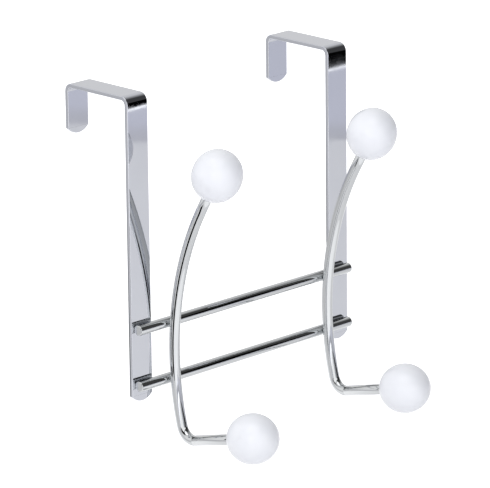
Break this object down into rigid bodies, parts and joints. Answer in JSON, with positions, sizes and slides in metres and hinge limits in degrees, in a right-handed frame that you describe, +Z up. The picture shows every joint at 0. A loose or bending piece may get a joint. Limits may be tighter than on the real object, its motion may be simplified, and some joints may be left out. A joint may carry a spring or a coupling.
{
  "type": "coat hook rail",
  "caption": "Over-the-door coat rail: flat chromed straps bent over the door, cross rails of round wire, and double wire hooks tipped with white balls.",
  "frame": {"origin": "top front edge of the door, midway between the two straps: on the plane of the bridges' undersides and of the front legs' back faces", "axes": "+X along the rails to the right as seen from the room, +Y from the room into the door, +Z up"},
  "size_m": [0.17, 0.1334, 0.1989],
  "materials": {
    "chrome_plate": "polished",
    "white_ball": "glossy"
  },
  "bodies": {
    "root": {"left_strap": "chrome_plate", "right_strap": "chrome_plate", "upper_rail": "chrome_plate", "lower_rail": "chrome_plate", "left_hook": "chrome_plate", "right_hook": "chrome_plate", "left_upper_ball": "white_ball", "left_lower_ball": "white_ball", "right_upper_ball": "white_ball", "right_lower_ball": "white_ball"}
  },
  "joints": []
}
